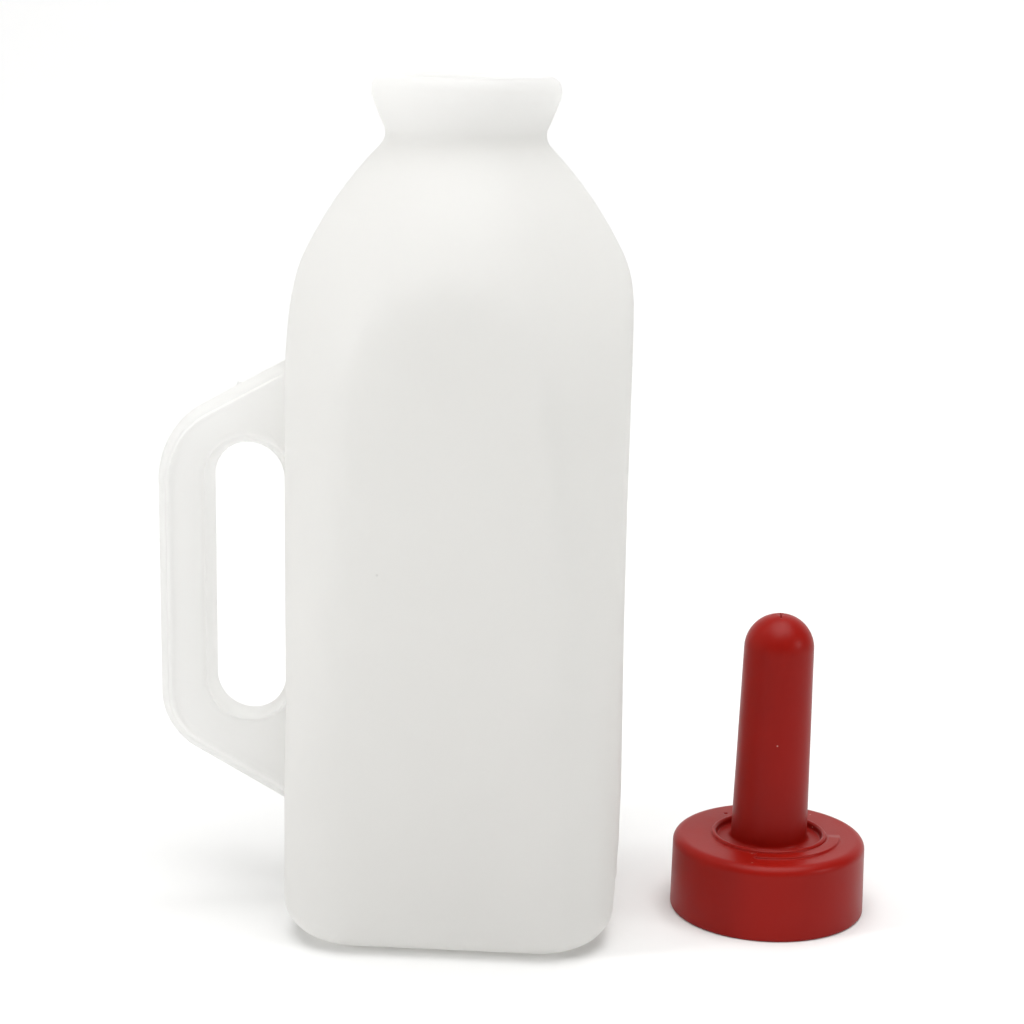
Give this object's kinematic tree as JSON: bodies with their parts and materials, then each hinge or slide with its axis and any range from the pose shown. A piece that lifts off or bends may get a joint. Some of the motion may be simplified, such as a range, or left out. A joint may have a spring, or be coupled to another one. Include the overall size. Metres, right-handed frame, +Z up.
{
  "type": "calf feeding bottle",
  "caption": "Square white feeding bottle with a domed shoulder, flared rolled mouth and flat loop handle, with its separate pull-on rubber nipple standing beside it.",
  "frame": {"origin": "middle of the bottle's base, on the surface that it stands on, under the mouth's axis", "axes": "+Z up along the bottle; the handle is at -X and the nipple stands at +X; -Y is the front"},
  "size_m": [0.2237, 0.101, 0.26],
  "materials": {
    "bottle_hdpe": "satin, translucent natural white, blow-moulded polyethylene",
    "nipple_rubber": "satin, moulded red rubber"
  },
  "bodies": {
    "bottle": {"bottle_body": "bottle_hdpe", "bottle_neck": "bottle_hdpe", "handle": "bottle_hdpe"},
    "nipple": {"nipple_cap": "nipple_rubber"},
    "teat": {"teat": "nipple_rubber"}
  },
  "joints": [
    {"name": "nipple_lift", "type": "slide", "parent": "bottle", "child": "nipple", "axis": [0, 0, 1], "range_m": [0, 0.28]},
    {"name": "teat_bend", "type": "hinge", "parent": "nipple", "child": "teat", "pos_m": [0.0986, 0.0062, 0.0212], "axis": [0, 1, 0], "range_deg": [-20, 20], "stiffness_Nm_per_rad": 0.25}
  ]
}
